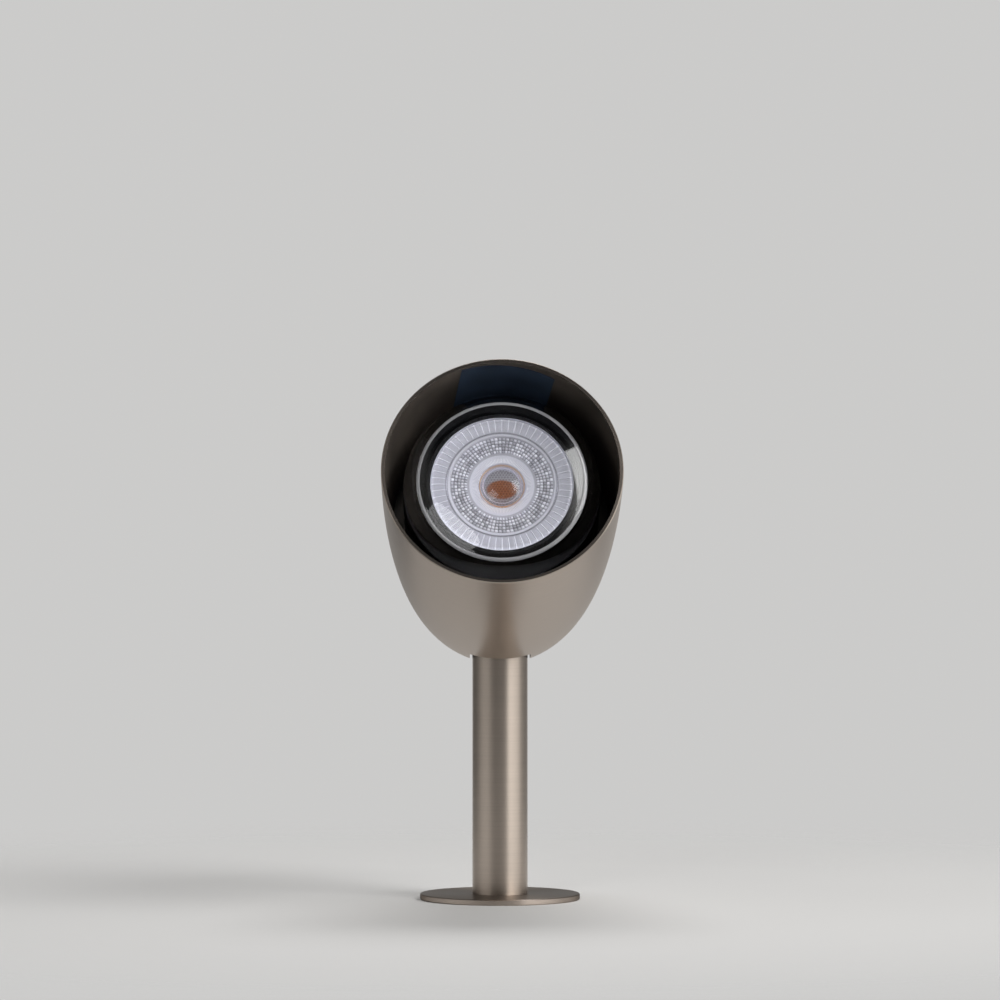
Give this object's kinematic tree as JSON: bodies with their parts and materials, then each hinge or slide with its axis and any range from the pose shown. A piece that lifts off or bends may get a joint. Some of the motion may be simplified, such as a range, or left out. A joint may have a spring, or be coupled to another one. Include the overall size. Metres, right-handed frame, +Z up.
{
  "type": "ground spotlight",
  "caption": "Bullet-shaped steel ground spotlight that tilts on a tube post with a round foot plate, with a plug-in reflector lamp behind a clear cover.",
  "frame": {"origin": "centre of the round foot plate's underside, on the post's axis", "axes": "+Z up along the post; the lamp shines towards -Y, 23 degrees above level"},
  "size_m": [0.08, 0.1339, 0.1849],
  "materials": {
    "satin_steel": "satin",
    "plated_steel": "satin",
    "fibre": "matte",
    "black_rubber": "matte",
    "grey_silicone": "matte",
    "black_moulding": "gloss",
    "black_nylon": "matte",
    "blank_film": "satin",
    "clear_moulding": "gloss",
    "white_ceramic": "satin",
    "contact_brass": "satin",
    "white_plastic": "satin",
    "lamp_shell": "satin",
    "lens_plastic": "gloss",
    "board_aluminium": "satin",
    "chip_phosphor": "matte",
    "board_green": "satin",
    "part_black": "satin"
  },
  "bodies": {
    "post": {"base_plate": "satin_steel", "foot_plug": "plated_steel", "foot_screws": "plated_steel", "post_tube": "satin_steel", "cable_grommet": "black_rubber", "post_knuckle": "plated_steel", "friction_washers": "fibre", "spring_washers": "plated_steel", "pivot_screws": "plated_steel"},
    "head": {"shade": "satin_steel", "shade_ring": "plated_steel", "label_film": "blank_film", "tilt_bracket": "plated_steel", "bracket_screws": "plated_steel", "lamp_housing": "black_moulding", "housing_screws": "plated_steel", "cable_gland": "black_nylon", "gland_seal": "black_rubber", "gland_cap_nut": "black_nylon", "gland_lock_nut": "black_nylon", "cover_seal": "grey_silicone", "lampholder": "white_ceramic", "holder_screws": "plated_steel", "holder_contacts": "contact_brass", "holder_leads": "white_plastic", "terminal_block": "white_plastic", "terminal_clamps": "contact_brass"},
    "cover": {"clear_cover": "clear_moulding"},
    "lamp": {"lamp_body": "lamp_shell", "lamp_base": "white_plastic", "lamp_pins": "contact_brass", "lamp_lens": "lens_plastic", "led_board": "board_aluminium", "led_chip": "chip_phosphor", "driver_board": "board_green", "driver_parts": "part_black"}
  },
  "joints": [
    {"name": "head_tilt", "type": "hinge", "parent": "post", "child": "head", "pos_m": [0, 0, 0.1147], "axis": [-1, 0, 0], "range_deg": [0, 67]},
    {"name": "cover_turn", "type": "hinge", "parent": "head", "child": "cover", "pos_m": [0, 0, 0.1147], "axis": [0, -0.9205, 0.3907], "range_deg": [0, 40]},
    {"name": "lamp_turn", "type": "hinge", "parent": "head", "child": "lamp", "pos_m": [0, 0, 0.1147], "axis": [0, -0.9205, 0.3907], "range_deg": [0, 40]}
  ]
}
